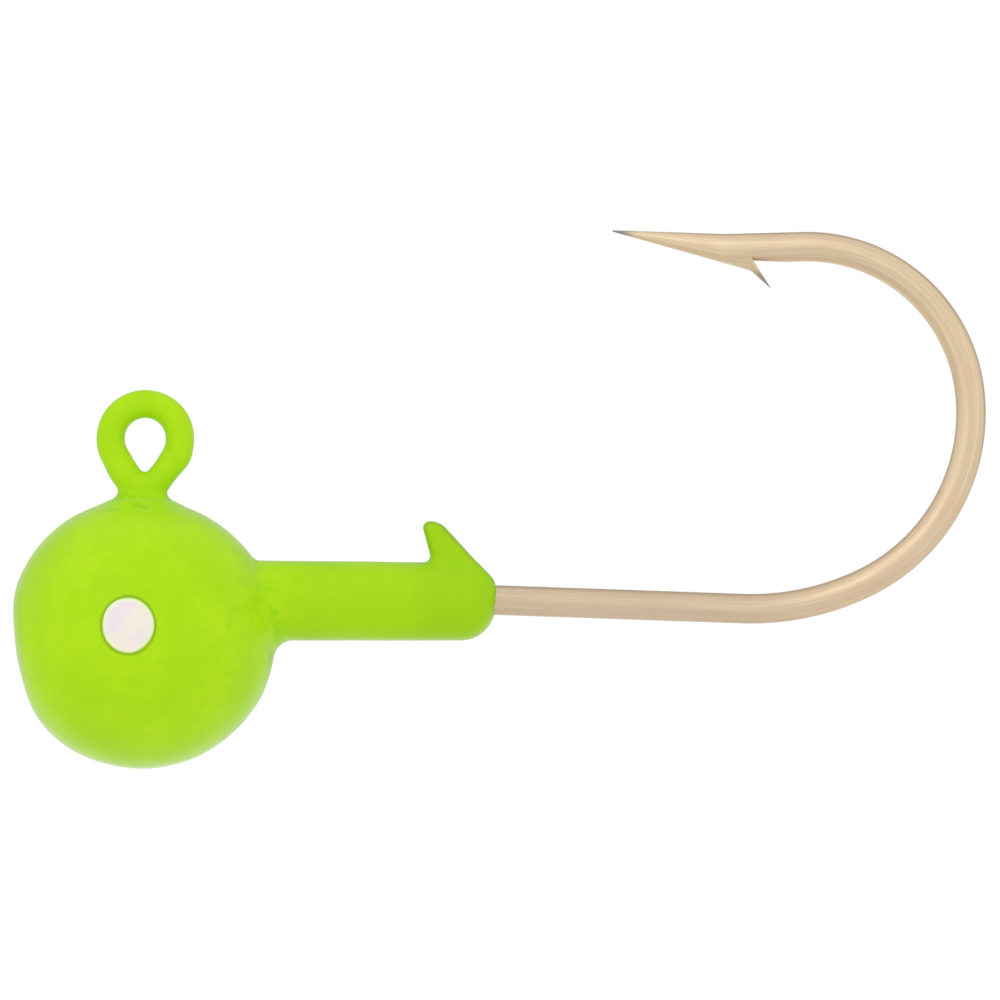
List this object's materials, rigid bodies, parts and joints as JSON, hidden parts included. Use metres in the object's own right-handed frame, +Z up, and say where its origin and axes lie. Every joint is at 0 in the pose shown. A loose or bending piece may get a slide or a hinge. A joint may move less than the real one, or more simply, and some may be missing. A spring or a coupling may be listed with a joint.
{
  "type": "jig head",
  "caption": "Round lead jig head cast on a long-shank hook, with an upright line eye, a collar, a raked bait keeper and a barbed point.",
  "frame": {"origin": "centre of the line eye's hole", "axes": "+X along the shank towards the hook's bend, +Z up out of the head through the line eye, +Y across the hook along the axis of the line eye; the hook lies in the XZ plane"},
  "size_m": [0.0368, 0.0102, 0.0203],
  "materials": {
    "hook_wire": "satin",
    "lead": "matte",
    "chartreuse_paint": "gloss",
    "eye_paint_white": "satin"
  },
  "bodies": {
    "root": {"hook": "hook_wire", "lead_head": "lead", "head_paint": "chartreuse_paint", "eye_paint": "chartreuse_paint", "left_eye_dot": "eye_paint_white", "right_eye_dot": "eye_paint_white"}
  },
  "joints": []
}
